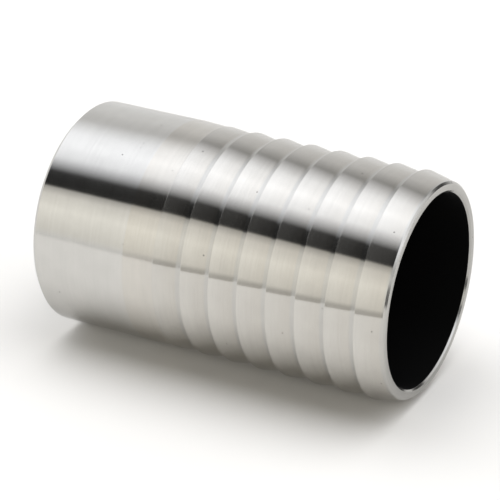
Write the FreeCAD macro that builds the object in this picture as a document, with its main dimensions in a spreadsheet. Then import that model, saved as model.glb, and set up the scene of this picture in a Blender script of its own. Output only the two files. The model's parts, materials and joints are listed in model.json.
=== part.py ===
import FreeCAD, Part
import os

import Sketcher
from FreeCAD import Vector

# Weld-on hose shank for 2 in (DN 50) hose, turned in one piece from stainless steel.
# The bore runs along X. The origin is the centre of the face of the weld end, and +X
# points to the end that the hose is pushed over. Lengths are in millimetres.

DRIVING_SIZES = [
    # the tube that the shank is turned from
    ("plain_diameter", 52.0, "outside of the smooth weld end"),
    ("bore_diameter", 44.2, "through bore"),
    ("total_length", 86.7, "weld face to hose face"),
    # the eight saw-tooth barbs
    ("plain_length", 23.8, "smooth length before the lead-in taper"),
    ("first_crest", 31.3, "weld face to the first barb's crest"),
    ("barb_count", 8, "number of barbs"),
    ("barb_pitch", 7.0, "crest to crest"),
    ("crest_diameter", 51.8, "over the barbs' crests"),
    ("crest_flat", 0.15, "width of the flat left on each crest"),
    ("lead_in_diameter", 51.4, "foot of the lead-in taper, at the first crest"),
    ("starter_root_diameter", 50.5, "bottom of the shallow groove behind the first barb"),
    ("root_diameter", 49.8, "bottom of the full-depth grooves"),
    ("land_length", 1.5, "parallel stretch at a groove's bottom, up to the next barb"),
    ("nose_radius", 0.35, "corner that the tool's nose leaves under each barb"),
    ("tip_diameter", 48.8, "where the last barb's cone would meet the hose face"),
    # broken edges
    ("weld_outer_chamfer", 1.0, "weld face, outside"),
    ("weld_bore_chamfer", 0.5, "weld face, bore"),
    ("hose_outer_chamfer", 0.45, "hose face, outside"),
    ("hose_bore_chamfer", 0.45, "hose face, bore"),
]

CUTTER_CLEARANCE = 1.0   # how far a groove's outline stands clear of the crests
EDGE_MATCH = 1e-4        # how closely an edge's place and radius have to match


def make_sheet(document):
    """The driving sizes, one row each: name, value under an alias, meaning."""
    sheet = document.addObject("Spreadsheet::Sheet", "sizes")
    for row, (alias, value, meaning) in enumerate(DRIVING_SIZES, start=1):
        sheet.set(f"A{row}", alias)
        sheet.set(f"B{row}", str(value))
        sheet.setAlias(f"B{row}", alias)
        sheet.set(f"C{row}", meaning)
    document.recompute()
    return sheet


def origin_feature(body, role):
    """The body's own origin plane or axis with this role, such as XZ_Plane."""
    return next(item for item in body.Origin.OriginFeatures if item.Role == role)


def half_section(body, name, corners, curved_side=None):
    """A closed outline in the XZ plane: sketch x is the bore's axis, sketch y the radius.

    Each corner is a pair of expressions. Every side is straight, except that curved_side,
    counted from 0, is a quarter circle that leaves its first corner parallel to the axis.
    """
    sketch = body.newObject("Sketcher::SketchObject", name)
    sketch.AttachmentSupport = [(origin_feature(body, "XZ_Plane"), "")]
    sketch.MapMode = "FlatFace"
    body.Document.recompute()

    places = [
        Vector(float(sketch.evalExpression(along)), float(sketch.evalExpression(radius)), 0)
        for along, radius in corners
    ]
    for side, start in enumerate(places):
        end = places[(side + 1) % len(places)]
        if side == curved_side:
            sketch.addGeometry(quarter_circle(start, end))
        else:
            sketch.addGeometry(Part.LineSegment(start, end))
    for side in range(len(places)):
        following = (side + 1) % len(places)
        sketch.addConstraint(Sketcher.Constraint("Coincident", side, 2, following, 1))
    if curved_side is not None:
        sketch.addConstraint(Sketcher.Constraint("Vertical", curved_side, 1, curved_side, 3))

    for side, (along, radius) in enumerate(corners):
        for kind, expression, value in (
            ("DistanceX", along, places[side].x),
            ("DistanceY", radius, places[side].y),
        ):
            index = sketch.addConstraint(Sketcher.Constraint(kind, -1, 1, side, 1, value))
            sketch.setExpression(f"Constraints[{index}]", expression)
    body.Document.recompute()
    return sketch


def quarter_circle(start, end):
    """An arc that leaves start parallel to the x axis and reaches end square to it."""
    centre = Vector(start.x, end.y, 0)
    middle_direction = (start - centre) + (end - centre)
    middle = centre + middle_direction.normalize() * (end - centre).Length
    return Part.Arc(start, middle, end)


def turn(body, kind, name, sketch):
    """Revolves a half section right round the bore's axis, as material or as a cut."""
    feature = body.newObject(kind, name)
    feature.Profile = sketch
    feature.ReferenceAxis = (origin_feature(body, "X_Axis"), [""])
    feature.Angle = 360.0
    body.Document.recompute()
    return feature


def add_blank(body):
    """The shank before its grooves are cut: plain end, lead-in, crest cylinder and tip."""
    last_crest = "sizes.first_crest + (sizes.barb_count - 1) * sizes.barb_pitch"
    corners = [
        ("0", "sizes.bore_diameter / 2"),
        ("0", "sizes.plain_diameter / 2"),
        ("sizes.plain_length", "sizes.plain_diameter / 2"),
        ("sizes.first_crest", "sizes.lead_in_diameter / 2"),
        ("sizes.first_crest", "sizes.crest_diameter / 2"),
        (f"{last_crest} + sizes.crest_flat", "sizes.crest_diameter / 2"),
        ("sizes.total_length", "sizes.tip_diameter / 2"),
        ("sizes.total_length", "sizes.bore_diameter / 2"),
    ]
    sketch = half_section(body, "blank_section", corners)
    return turn(body, "PartDesign::Revolution", "blank", sketch)


def add_groove(body, name, barb, root_diameter):
    """Cuts behind one barb: a long cone down, a land, and a square step up to the next."""
    crest = f"sizes.first_crest + {barb} * sizes.barb_pitch"
    next_crest = f"{crest} + sizes.barb_pitch"
    crest_radius = "sizes.crest_diameter / 2"
    clear_radius = f"{crest_radius} + {CUTTER_CLEARANCE}"
    root_radius = f"{root_diameter} / 2"
    corners = [
        (f"{crest} + sizes.crest_flat", crest_radius),
        (f"{next_crest} - sizes.land_length", root_radius),
        (f"{next_crest} - sizes.nose_radius", root_radius),
        (next_crest, f"{root_radius} + sizes.nose_radius"),
        (next_crest, clear_radius),
        (f"{crest} + sizes.crest_flat", clear_radius),
    ]
    sketch = half_section(body, f"{name}_section", corners, curved_side=2)
    volume_before = body.Shape.Volume
    groove = turn(body, "PartDesign::Groove", name, sketch)
    require(body.Shape.Volume < volume_before, f"{name} cut nothing")
    return groove


def repeat_groove(body, groove):
    """Repeats the full-depth groove along the shank, up to the last barb."""
    pattern = body.newObject("PartDesign::LinearPattern", "barb_grooves")
    pattern.Originals = [groove]
    pattern.Direction = (origin_feature(body, "X_Axis"), [""])
    pattern.setExpression("Length", "(sizes.barb_count - 3) * sizes.barb_pitch")
    pattern.setExpression("Occurrences", "sizes.barb_count - 2")
    volume_before = body.Shape.Volume
    body.Tip = pattern
    body.Document.recompute()
    require(body.Shape.Volume < volume_before, "the groove pattern cut nothing")
    return pattern


def circular_edge(shape, along, radius):
    """The name of the round edge at this distance along the axis with this radius."""
    for index, edge in enumerate(shape.Edges, start=1):
        curve = edge.Curve
        if (
            isinstance(curve, Part.Circle)
            and abs(curve.Center.x - along) < EDGE_MATCH
            and abs(curve.Radius - radius) < EDGE_MATCH
        ):
            return f"Edge{index}"
    raise RuntimeError(f"no round edge of radius {radius} at {along}")


def break_edge(body, name, along, diameter, chamfer_alias):
    """Chamfers one round edge at 45 degrees to the face."""
    base = body.Tip
    chamfer = body.newObject("PartDesign::Chamfer", name)
    chamfer.Base = (base, [circular_edge(base.Shape, along, diameter / 2)])
    chamfer.setExpression("Size", f"sizes.{chamfer_alias}")
    volume_before = base.Shape.Volume
    body.Document.recompute()
    require(body.Shape.Volume < volume_before, f"{name} cut nothing")
    return chamfer


def make_hose_shank(document, sheet):
    body = document.addObject("PartDesign::Body", "hose_shank")
    body.Label = "hose_shank"
    body.Placement = FreeCAD.Placement()

    add_blank(body)
    add_groove(body, "starter_groove", 0, "sizes.starter_root_diameter")
    full_groove = add_groove(body, "barb_groove", 1, "sizes.root_diameter")
    repeat_groove(body, full_groove)

    far_face = sheet.total_length
    break_edge(body, "weld_bevel", 0.0, sheet.plain_diameter, "weld_outer_chamfer")
    break_edge(body, "weld_bore_edge", 0.0, sheet.bore_diameter, "weld_bore_chamfer")
    break_edge(body, "hose_bevel", far_face, sheet.tip_diameter, "hose_outer_chamfer")
    break_edge(body, "hose_bore_edge", far_face, sheet.bore_diameter, "hose_bore_chamfer")
    return body


def require(condition, message):
    if not condition:
        raise RuntimeError(message)


def check_and_export(document, bodies):
    for item in document.Objects:
        bad_states = {"Invalid", "Error"} & set(item.State)
        require(not bad_states, f"{item.Name} is {bad_states}")
    for body in bodies:
        require(not body.Shape.isNull(), f"{body.Label} is empty")
        require(body.Shape.isValid(), f"{body.Label} is not valid")
        require(len(body.Shape.Solids) == 1, f"{body.Label} is not one solid")
    os.makedirs("parts", exist_ok=True)
    for body in bodies:
        body.Shape.exportStep(f"parts/{body.Label}.step")
        box = body.Shape.optimalBoundingBox()
        print(
            f"{body.Label}: {box.XLength:.2f} x {box.YLength:.2f} x {box.ZLength:.2f} mm,",
            f"{body.Shape.Volume:.0f} mm3, {len(body.Shape.Faces)} faces",
        )


def main():
    document = FreeCAD.newDocument("weld_on_hose_shank")
    sheet = make_sheet(document)
    hose_shank = make_hose_shank(document, sheet)
    document.recompute()
    check_and_export(document, [hose_shank])


main()
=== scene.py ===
import json
import math

import bpy
from mathutils import Matrix, Vector


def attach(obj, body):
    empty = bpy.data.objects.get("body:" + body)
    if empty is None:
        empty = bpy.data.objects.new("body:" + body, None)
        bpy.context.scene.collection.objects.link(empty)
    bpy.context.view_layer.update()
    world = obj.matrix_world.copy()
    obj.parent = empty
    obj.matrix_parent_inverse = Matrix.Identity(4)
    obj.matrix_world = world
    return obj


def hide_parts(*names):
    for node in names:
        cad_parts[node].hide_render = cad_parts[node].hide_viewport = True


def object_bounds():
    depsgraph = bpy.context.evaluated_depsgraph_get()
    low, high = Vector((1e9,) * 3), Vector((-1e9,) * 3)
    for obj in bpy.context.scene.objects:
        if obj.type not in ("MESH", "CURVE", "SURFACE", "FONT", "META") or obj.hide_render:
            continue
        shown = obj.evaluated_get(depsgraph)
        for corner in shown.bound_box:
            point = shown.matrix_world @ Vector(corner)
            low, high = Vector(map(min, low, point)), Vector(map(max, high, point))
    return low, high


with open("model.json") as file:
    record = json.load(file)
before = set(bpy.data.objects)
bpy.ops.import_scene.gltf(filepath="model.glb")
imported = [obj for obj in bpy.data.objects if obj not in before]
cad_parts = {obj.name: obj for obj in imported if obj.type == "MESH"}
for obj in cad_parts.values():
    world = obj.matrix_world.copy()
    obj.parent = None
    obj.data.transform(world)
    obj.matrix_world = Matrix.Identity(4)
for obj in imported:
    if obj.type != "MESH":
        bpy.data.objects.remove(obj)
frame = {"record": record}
cad_low, cad_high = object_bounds()
scene = bpy.context.scene

# ------------------------------------------------------------------ sizes
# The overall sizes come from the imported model. The barbs' sizes repeat part.py's.
# Everything here is in millimetres, and the mesh is scaled to metres as it is made.
MM = 0.001
mount_dims = {mount["name"]: mount["dims"] for mount in frame["record"]["mounts"]}

TOTAL_LENGTH = (cad_high.x - cad_low.x) / MM
PLAIN_RADIUS = mount_dims["plain_end"]["r_mm"]
BORE_RADIUS = mount_dims["bore"]["r_mm"]
PLAIN_LENGTH = 23.8
LEAD_IN_RADIUS = 25.7
FIRST_CREST = 31.3
BARB_COUNT = 8
BARB_PITCH = 7.0
LAST_CREST = FIRST_CREST + (BARB_COUNT - 1) * BARB_PITCH
CREST_RADIUS = 25.9
CREST_FLAT = 0.15
STARTER_ROOT_RADIUS = 25.25
ROOT_RADIUS = 24.9
LAND_LENGTH = 1.5
NOSE_RADIUS = 0.35
TIP_RADIUS = 24.4
WELD_OUTER_CHAMFER = 1.0
WELD_BORE_CHAMFER = 0.5
HOSE_CHAMFER = 0.45

EDGE_ROUNDING = 0.07             # what deburring leaves on every sharp edge
FOOT_ROUNDING = 4.0              # how gently a barb's cone runs out into its land
ROUNDING_STEP = math.radians(20)
SIDES_ROUND = 384                # facets round the axis


# ------------------------------------------------------------------ the turned profile
def outline():
    """The half section's corners, outside first, as ((along, radius), rounding)."""
    corners = [
        ((0, BORE_RADIUS + WELD_BORE_CHAMFER), EDGE_ROUNDING),
        ((0, PLAIN_RADIUS - WELD_OUTER_CHAMFER), EDGE_ROUNDING),
        ((WELD_OUTER_CHAMFER, PLAIN_RADIUS), EDGE_ROUNDING),
        ((PLAIN_LENGTH, PLAIN_RADIUS), FOOT_ROUNDING),
        ((FIRST_CREST, LEAD_IN_RADIUS), EDGE_ROUNDING),
        ((FIRST_CREST, CREST_RADIUS), EDGE_ROUNDING),
    ]
    for barb in range(BARB_COUNT - 1):
        crest = FIRST_CREST + barb * BARB_PITCH
        next_crest = crest + BARB_PITCH
        root_radius = STARTER_ROOT_RADIUS if barb == 0 else ROOT_RADIUS
        corners += [
            ((crest + CREST_FLAT, CREST_RADIUS), EDGE_ROUNDING),
            ((next_crest - LAND_LENGTH, root_radius), FOOT_ROUNDING),
            ((next_crest, root_radius), NOSE_RADIUS),
            ((next_crest, CREST_RADIUS), EDGE_ROUNDING),
        ]

    tip = Vector((TOTAL_LENGTH, TIP_RADIUS))
    last_cone = Vector((LAST_CREST + CREST_FLAT, CREST_RADIUS))
    corners += [
        (last_cone, EDGE_ROUNDING),
        (tip + (last_cone - tip).normalized() * HOSE_CHAMFER, EDGE_ROUNDING),
        ((TOTAL_LENGTH, TIP_RADIUS - HOSE_CHAMFER), EDGE_ROUNDING),
        ((TOTAL_LENGTH, BORE_RADIUS + HOSE_CHAMFER), EDGE_ROUNDING),
        ((TOTAL_LENGTH - HOSE_CHAMFER, BORE_RADIUS), EDGE_ROUNDING),
        ((WELD_BORE_CHAMFER, BORE_RADIUS), EDGE_ROUNDING),
    ]
    return [(Vector(place), rounding) for place, rounding in corners]


def left_of(direction):
    """The outline runs with the metal on its right, so this points out of the metal."""
    return Vector((-direction.y, direction.x))


def rounded_rings(corners):
    """(point, outward normal) for every ring of the mesh, with the corners rounded."""
    rings = []
    for index, (corner, rounding) in enumerate(corners):
        arriving = (corner - corners[index - 1][0]).normalized()
        leaving = (corners[(index + 1) % len(corners)][0] - corner).normalized()
        normal = left_of(arriving)
        turn = math.atan2(arriving.x * leaving.y - arriving.y * leaving.x, arriving @ leaving)
        towards_centre = math.copysign(rounding, turn)
        start = corner - arriving * rounding * math.tan(abs(turn) / 2)
        centre = start + normal * towards_centre
        steps = max(2, math.ceil(abs(turn) / ROUNDING_STEP))
        for step in range(steps + 1):
            turned = Matrix.Rotation(turn * step / steps, 2) @ normal
            rings.append((centre - turned * towards_centre, turned))
    return rings


def turned_mesh(name, rings):
    """Spins the rings round the X axis into one closed mesh with exact normals."""
    points = []
    normals = []
    for place, normal in rings:
        for side in range(SIDES_ROUND):
            angle = 2 * math.pi * side / SIDES_ROUND
            outward = Vector((0, -math.cos(angle), math.sin(angle)))
            points.append((Vector((place.x, 0, 0)) + outward * place.y) * MM)
            normals.append(Vector((normal.x, 0, 0)) + outward * normal.y)

    faces = []
    for ring in range(len(rings)):
        this_ring = ring * SIDES_ROUND
        next_ring = (ring + 1) % len(rings) * SIDES_ROUND
        for side in range(SIDES_ROUND):
            next_side = (side + 1) % SIDES_ROUND
            faces.append(
                (
                    this_ring + side,
                    next_ring + side,
                    next_ring + next_side,
                    this_ring + next_side,
                )
            )

    mesh = bpy.data.meshes.new(name)
    mesh.from_pydata(points, [], faces)
    mesh.polygons.foreach_set("use_smooth", [True] * len(faces))
    mesh.normals_split_custom_set_from_vertices(normals)
    mesh.validate()
    return mesh


# ------------------------------------------------------------------ node helpers
def add_node(tree, kind, inputs=None, **settings):
    """Adds a node. An input that is another node's socket is linked, else it is set."""
    node = tree.nodes.new(kind)
    for name, value in settings.items():
        setattr(node, name, value)
    for name, value in (inputs or {}).items():
        if isinstance(value, bpy.types.NodeSocket):
            tree.links.new(value, node.inputs[name])
        else:
            node.inputs[name].default_value = value
    return node


def calculate(tree, operation, *values):
    inputs = dict(enumerate(values))
    return add_node(tree, "ShaderNodeMath", inputs, operation=operation).outputs[0]


def remap(tree, value, from_low, from_high, to_low=0.0, to_high=1.0, curve="LINEAR"):
    inputs = {
        "Value": value,
        "From Min": from_low,
        "From Max": from_high,
        "To Min": to_low,
        "To Max": to_high,
    }
    node = add_node(tree, "ShaderNodeMapRange", inputs, interpolation_type=curve)
    return node.outputs["Result"]


def mix_colours(tree, factor, first, second, blend="MIX"):
    node = add_node(tree, "ShaderNodeMix", data_type="RGBA", blend_type=blend)
    for socket, value in ((0, factor), (6, first), (7, second)):
        if isinstance(value, bpy.types.NodeSocket):
            tree.links.new(value, node.inputs[socket])
        else:
            node.inputs[socket].default_value = value
    return node.outputs[2]


def grey(level):
    return (level, level, level, 1.0)


# ------------------------------------------------------------------ turned stainless
STEEL = (0.61, 0.60, 0.575, 1.0)
GRAZING_TINT = grey(0.8)         # steel reflects less than plain theory says near the rim
STEEL_ROUGHNESS = 0.14
# Painted shade: the bore's near black stands for the shade deep inside the tube.
BORE_PAINTED_SHADE = (0.003, 0.003, 0.003, 1.0)
BORE_SHADE_ROUGHNESS = 0.9

# How the cut surfaces differ from the plain end, as a tone over the steel. The foot and land
# tones are painted shade in the grooves between barbs.
CREST_TONE = (0.99, 0.98, 0.965, 1.0)
# Painted shade towards each barb's foot and on its land.
FOOT_PAINTED_SHADE = (0.90, 0.88, 0.85, 1.0)
LAND_PAINTED_SHADE = (0.86, 0.86, 0.855, 1.0)
TAPER_TONE = (0.99, 0.97, 0.94, 1.0)
MOUTH_TONE = grey(0.80)
CREST_METALLIC = 0.97            # a little scuffed and so less of a mirror

# The turning marks, the mottle and the pits. A scale is in features per metre.
MARKS_DARKEST = 0.945
MARKS_METALLIC = 0.985           # a mark scatters a little light too
PATCHES_DARKEST = 0.93
PIT_TONE = grey(0.08)
FINE_MARKS_SCALE = 3500.0
BROAD_MARKS_SCALE = 420.0
PATCHES_SCALE = 260.0
PITS_SCALE = 210.0
PIT_EDGE = (0.03, 0.05)          # a pit's radius, as a part of its cell, and its fade
PIT_STRENGTH = 0.6
SIDEWAYS_SHRINK = 0.02           # draws the marks out round the axis
MARK_RELIEF = 1.5e-6             # metres
RAGGED_EDGE = 0.06               # millimetres that the edge of the bore's painted shade wanders


def distance_from_axis(tree, sideways, height):
    square = calculate(tree, "MULTIPLY", sideways, sideways)
    square = calculate(tree, "MULTIPLY_ADD", height, height, square)
    return calculate(tree, "SQRT", square)


def turned_stainless():
    """Bright stainless with lathe marks round the axis, painted shade in the grooves between
    barbs, and a bore painted dark and dull as painted shade.
    """
    material = bpy.data.materials.new("turned_stainless")
    material.use_nodes = True
    tree = material.node_tree
    tree.nodes.clear()

    coordinates = add_node(tree, "ShaderNodeTexCoord").outputs["Object"]
    axes = add_node(tree, "ShaderNodeSeparateXYZ", {"Vector": coordinates})
    along, sideways, height = (axes.outputs[axis] for axis in "XYZ")
    radius = distance_from_axis(tree, sideways, height)

    # The lathe leaves marks that run round the axis: they change fast along it, and
    # slowly round it. On the end faces they are rings, so the radius counts as well.
    stretch = add_node(
        tree,
        "ShaderNodeCombineXYZ",
        {
            "X": calculate(tree, "ADD", along, radius),
            "Y": calculate(tree, "MULTIPLY", sideways, SIDEWAYS_SHRINK),
            "Z": calculate(tree, "MULTIPLY", height, SIDEWAYS_SHRINK),
        },
    ).outputs[0]
    fine_marks = add_node(
        tree,
        "ShaderNodeTexNoise",
        {"Vector": stretch, "Scale": FINE_MARKS_SCALE, "Detail": 2.0},
    ).outputs[0]
    broad_marks = add_node(
        tree,
        "ShaderNodeTexNoise",
        {"Vector": stretch, "Scale": BROAD_MARKS_SCALE, "Detail": 3.0},
    ).outputs[0]
    marks = calculate(tree, "ADD", fine_marks, broad_marks)
    patches = add_node(
        tree,
        "ShaderNodeTexNoise",
        {"Vector": coordinates, "Scale": PATCHES_SCALE, "Detail": 3.0},
    ).outputs[0]

    # Painted shade in the grooves: each barb's cone is brightest at its crest and darkens
    # towards its foot, and the land below is darker again, where shade falls before the next
    # barb's step. The lead-in taper has one tone.
    from_crest = calculate(
        tree,
        "WRAP",
        calculate(tree, "SUBTRACT", along, FIRST_CREST * MM),
        BARB_PITCH * MM,
        0.0,
    )
    foot = BARB_PITCH - LAND_LENGTH
    down_cone = remap(tree, from_crest, 0.0, foot * MM)
    past_foot = remap(tree, from_crest, (foot - 0.1) * MM, (foot + 0.3) * MM)
    below_crest = remap(
        tree, radius, (CREST_RADIUS - 0.25) * MM, (CREST_RADIUS - 0.1) * MM, 1.0, 0.0
    )
    on_land = calculate(tree, "MULTIPLY", past_foot, below_crest)
    barb_painted_shade = mix_colours(tree, down_cone, CREST_TONE, FOOT_PAINTED_SHADE)
    barb_painted_shade = mix_colours(tree, on_land, barb_painted_shade, LAND_PAINTED_SHADE)

    past_plain = calculate(tree, "GREATER_THAN", along, PLAIN_LENGTH * MM)
    past_taper = calculate(tree, "GREATER_THAN", along, FIRST_CREST * MM)
    cut_tone_and_shade = mix_colours(tree, past_plain, grey(1.0), TAPER_TONE)
    cut_tone_and_shade = mix_colours(tree, past_taper, cut_tone_and_shade, barb_painted_shade)
    tone = mix_colours(tree, 1.0, STEEL, cut_tone_and_shade, "MULTIPLY")

    for mottle, spread, darkest in (
        (marks, (0.6, 1.4), MARKS_DARKEST),
        (patches, (0.2, 0.8), PATCHES_DARKEST),
    ):
        shade = mix_colours(tree, remap(tree, mottle, *spread), grey(darkest), grey(1.0))
        tone = mix_colours(tree, 1.0, tone, shade, "MULTIPLY")

    # The end faces are darker towards the bore.
    mouth = remap(tree, radius, BORE_RADIUS * MM, TIP_RADIUS * MM)
    tone = mix_colours(
        tree, 1.0, tone, mix_colours(tree, mouth, MOUTH_TONE, grey(1.0)), "MULTIPLY"
    )

    # Small pits, a few to the whole surface.
    pits = add_node(
        tree, "ShaderNodeTexVoronoi", {"Vector": coordinates, "Scale": PITS_SCALE}
    ).outputs["Distance"]
    pitted = remap(tree, pits, *PIT_EDGE, PIT_STRENGTH, 0.0)
    tone = mix_colours(tree, pitted, tone, PIT_TONE)

    # The bore is painted near black and dull up to its deburred mouth: painted shade for the
    # deep inside of the tube.
    ragged_radius = calculate(tree, "MULTIPLY_ADD", patches, RAGGED_EDGE * MM, radius)
    shade_to = BORE_RADIUS + RAGGED_EDGE
    outside_bore_shade = remap(tree, ragged_radius, shade_to * MM, (shade_to + 0.04) * MM)

    barb_metallic = remap(tree, down_cone, 0.0, 1.0, CREST_METALLIC, 1.0)
    metallic = remap(tree, past_taper, 0.0, 1.0, 1.0, barb_metallic)
    scatter = remap(tree, marks, 0.7, 1.3, MARKS_METALLIC, 1.0)
    metallic = calculate(tree, "MULTIPLY", metallic, scatter)
    relief = add_node(
        tree,
        "ShaderNodeBump",
        {"Height": marks, "Strength": 0.35, "Distance": MARK_RELIEF},
    ).outputs[0]
    tangent = add_node(tree, "ShaderNodeTangent", direction_type="RADIAL", axis="X").outputs[0]
    # Inside the bore the colour, metallic and roughness switch to the painted shade.
    shader = add_node(
        tree,
        "ShaderNodeBsdfPrincipled",
        {
            "Base Color": mix_colours(tree, outside_bore_shade, BORE_PAINTED_SHADE, tone),
            "Metallic": calculate(tree, "MULTIPLY", outside_bore_shade, metallic),
            "Roughness": remap(tree, outside_bore_shade, 0.0, 1.0, BORE_SHADE_ROUGHNESS, STEEL_ROUGHNESS),
            "Specular IOR Level": 0.03,
            "Specular Tint": GRAZING_TINT,
            "Anisotropic": 1.0,
            "Anisotropic Rotation": 0.25,
            "Tangent": tangent,
            "Normal": relief,
        },
    ).outputs[0]
    add_node(tree, "ShaderNodeOutputMaterial", {"Surface": shader})
    return material


# ------------------------------------------------------------------ studio
# A few plain cards and one softbox stand round the object. Each stop is (angle, level,
# tint). The angle is in degrees up from the front (-Y), over the top (90), to the back
# (180). A warm panel in front has a black flag on top of it, then come the cool softbox
# overhead and a pale wall behind.
WARM = (1.0, 0.98, 0.92)
COOL = (0.98, 1.0, 1.05)
NEUTRAL = (1.0, 1.0, 1.0)

PANEL = [(0, 1.0, WARM), (22, 1.25, WARM), (36, 1.0, WARM), (43, 0.6, WARM)]
PANEL_GAP = [(-8, 0.6, WARM), (-4, 0.6, WARM)]       # the dark slot under the panel
FLAG = [(44.5, 0.02, NEUTRAL), (60, 0.03, NEUTRAL)]
FAR_FLAG = [(44.5, 0.08, NEUTRAL), (60, 0.1, NEUTRAL)]
WALL = (180, 1.15, NEUTRAL)

# Far to the left (-X) the panel meets the table without a slot, and the softbox meets the
# wall. Level with the object a gap shows between softbox and wall, and to the right it is
# black and further back.
LEFT = [
    (-8, 1.0, NEUTRAL),
    *PANEL,
    *FLAG,
    (76, 1.25, COOL),
    (92, 1.6, COOL),
    (108, 1.5, COOL),
    (130, 0.8, NEUTRAL),
    (150, 1.0, NEUTRAL),
    WALL,
]
MIDDLE = [
    *PANEL_GAP,
    *PANEL,
    *FLAG,
    (77, 1.5, COOL),
    (94, 1.9, COOL),
    (112, 1.5, COOL),
    (133, 0.4, NEUTRAL),
    (150, 0.8, NEUTRAL),
    WALL,
]
RIGHT = [
    *PANEL_GAP,
    *PANEL,
    *FAR_FLAG,
    (77, 1.5, COOL),
    (94, 1.9, COOL),
    (159, 1.0, NEUTRAL),
    (163, 0.1, NEUTRAL),
    (174, 0.05, NEUTRAL),
    (190, 0.8, NEUTRAL),
]
RAMP_START = -20.0
RAMP_TURN = 256.0        # a colour ramp is kept as 256 samples, so this gives one a degree
LEFT_REACH = -0.45       # where each ramp rules, as the X part of the direction
MIDDLE_REACH = (-0.35, 0.0)
RIGHT_REACH = 0.25

END_ON = (0.93, 0.99)    # near the ends of the X axis the light fades to an even grey
END_ON_LIGHT = grey(0.9)

# A dark stand to the right and a little forward, no higher than the table, as ranges of
# the direction's parts over which it fades in.
STAND_RIGHTWARD = (0.84, 0.88)
STAND_FORWARD = (0.05, 0.12)
STAND_UPWARD = (0.07, 0.02)
STAND_DARK = grey(0.05)


def light_ramp(tree, position, stops):
    """A colour ramp whose stops are (degrees, level, tint)."""
    node = add_node(tree, "ShaderNodeValToRGB", {"Fac": position})
    elements = node.color_ramp.elements
    while len(elements) < len(stops):
        elements.new(0.5)
    for element, (degrees, level, tint) in zip(elements, stops):
        element.position = (degrees - RAMP_START) / RAMP_TURN
        element.color = (*(level * channel for channel in tint), 1.0)
    return node.outputs["Color"]


def make_studio_light():
    world = bpy.data.worlds.new("studio")
    scene.world = world
    world.use_nodes = True
    tree = world.node_tree
    tree.nodes.clear()

    direction = add_node(tree, "ShaderNodeTexCoord").outputs["Generated"]
    axes = add_node(tree, "ShaderNodeSeparateXYZ", {"Vector": direction})
    rightward, backward, upward = (axes.outputs[axis] for axis in "XYZ")
    forward = calculate(tree, "MULTIPLY", backward, -1.0)
    angle = calculate(tree, "ARCTAN2", upward, forward)
    wrapped = calculate(tree, "WRAP", angle, math.radians(270), math.radians(-90))
    ramp_end = RAMP_START + RAMP_TURN
    position = remap(tree, wrapped, math.radians(RAMP_START), math.radians(ramp_end))

    left, middle, right = (light_ramp(tree, position, stops) for stops in (LEFT, MIDDLE, RIGHT))
    light = mix_colours(
        tree, remap(tree, rightward, LEFT_REACH, MIDDLE_REACH[0]), left, middle
    )
    light = mix_colours(
        tree, remap(tree, rightward, MIDDLE_REACH[1], RIGHT_REACH), light, right
    )

    # Near the ends of the X axis every angle meets, so the light there is even.
    end_on = remap(tree, calculate(tree, "ABSOLUTE", rightward), *END_ON)
    light = mix_colours(tree, end_on, light, END_ON_LIGHT)

    stand = remap(tree, rightward, *STAND_RIGHTWARD)
    stand = calculate(tree, "MULTIPLY", stand, remap(tree, forward, *STAND_FORWARD))
    stand = calculate(tree, "MULTIPLY", stand, remap(tree, upward, *STAND_UPWARD))
    light = mix_colours(tree, stand, light, STAND_DARK)

    seen = add_node(tree, "ShaderNodeLightPath").outputs["Is Camera Ray"]
    shown = mix_colours(tree, seen, light, grey(1.0))
    background = add_node(tree, "ShaderNodeBackground", {"Color": shown}).outputs[0]
    add_node(tree, "ShaderNodeOutputWorld", {"Surface": background})


FLOOR_WHITE = (0.74, 0.726, 0.70, 1.0)
TABLE_FRONT = -0.27      # metres; what stands round the table shows past its edges
TABLE_RIGHT = 0.28
TABLE_BACK = 0.45
TABLE_LEFT = -0.45


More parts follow.
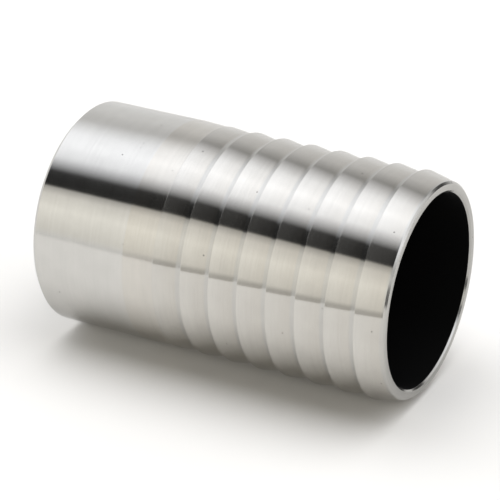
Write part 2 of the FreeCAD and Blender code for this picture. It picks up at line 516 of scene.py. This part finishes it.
def make_floor():
    """A plain matt table top at the height that the shank lies on."""
    corners = [
        (TABLE_LEFT, TABLE_FRONT, cad_low.z),
        (TABLE_RIGHT, TABLE_FRONT, cad_low.z),
        (TABLE_RIGHT, TABLE_BACK, cad_low.z),
        (TABLE_LEFT, TABLE_BACK, cad_low.z),
    ]
    mesh = bpy.data.meshes.new("floor")
    mesh.from_pydata(corners, [], [(0, 1, 2, 3)])
    floor = bpy.data.objects.new("floor", mesh)
    scene.collection.objects.link(floor)
    material = bpy.data.materials.new("floor_white")
    material.use_nodes = True
    shader = material.node_tree.nodes["Principled BSDF"]
    shader.inputs["Base Color"].default_value = FLOOR_WHITE
    shader.inputs["Roughness"].default_value = 0.9
    shader.inputs["Specular IOR Level"].default_value = 0.1
    mesh.materials.append(material)


LAMP_HEIGHT = 1.5
LAMP_SIZE = 1.6
LAMP_POWER = 13.5


def make_table_lamp():
    """A broad soft lamp overhead that brings the matt table up to white.

    Shiny surfaces already mirror the studio's own softbox, so it is kept out of them.
    """
    lamp_data = bpy.data.lights.new("table_lamp", "AREA")
    lamp_data.size = LAMP_SIZE
    lamp_data.energy = LAMP_POWER
    lamp = bpy.data.objects.new("table_lamp", lamp_data)
    scene.collection.objects.link(lamp)
    lamp.location = (0, 0, LAMP_HEIGHT)
    lamp.visible_camera = False
    lamp.visible_glossy = False


# ------------------------------------------------------------------ camera
CAMERA_AZIMUTH = math.radians(28.13)
CAMERA_ELEVATION = math.radians(26.94)
CAMERA_DISTANCE = 0.5055
CAMERA_LENS = 160.56
AIM_OFFSET = Vector((-1.31, -0.06, -0.52)) * MM     # from the middle of the shank


def make_camera():
    back = Vector(
        (
            math.sin(CAMERA_AZIMUTH) * math.cos(CAMERA_ELEVATION),
            -math.cos(CAMERA_AZIMUTH) * math.cos(CAMERA_ELEVATION),
            math.sin(CAMERA_ELEVATION),
        )
    )
    camera_data = bpy.data.cameras.new("camera")
    camera_data.lens = CAMERA_LENS
    camera_data.sensor_width = 36.0
    camera_data.clip_start = 0.01
    camera_data.clip_end = 20.0
    camera = bpy.data.objects.new("camera", camera_data)
    scene.collection.objects.link(camera)
    camera.rotation_mode = "QUATERNION"
    camera.location = (cad_low + cad_high) / 2 + AIM_OFFSET + back * CAMERA_DISTANCE
    camera.rotation_quaternion = back.to_track_quat("Z", "Y")
    scene.camera = camera


# ------------------------------------------------------------------ the scene
def make_shank():
    mesh = turned_mesh("turned_shank", rounded_rings(outline()))
    mesh.materials.append(turned_stainless())
    shank = bpy.data.objects.new("turned_shank", mesh)
    scene.collection.objects.link(shank)
    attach(shank, "root")
    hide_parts("hose_shank")


make_shank()
make_floor()
make_studio_light()
make_table_lamp()
make_camera()
scene.view_settings.view_transform = "Standard"
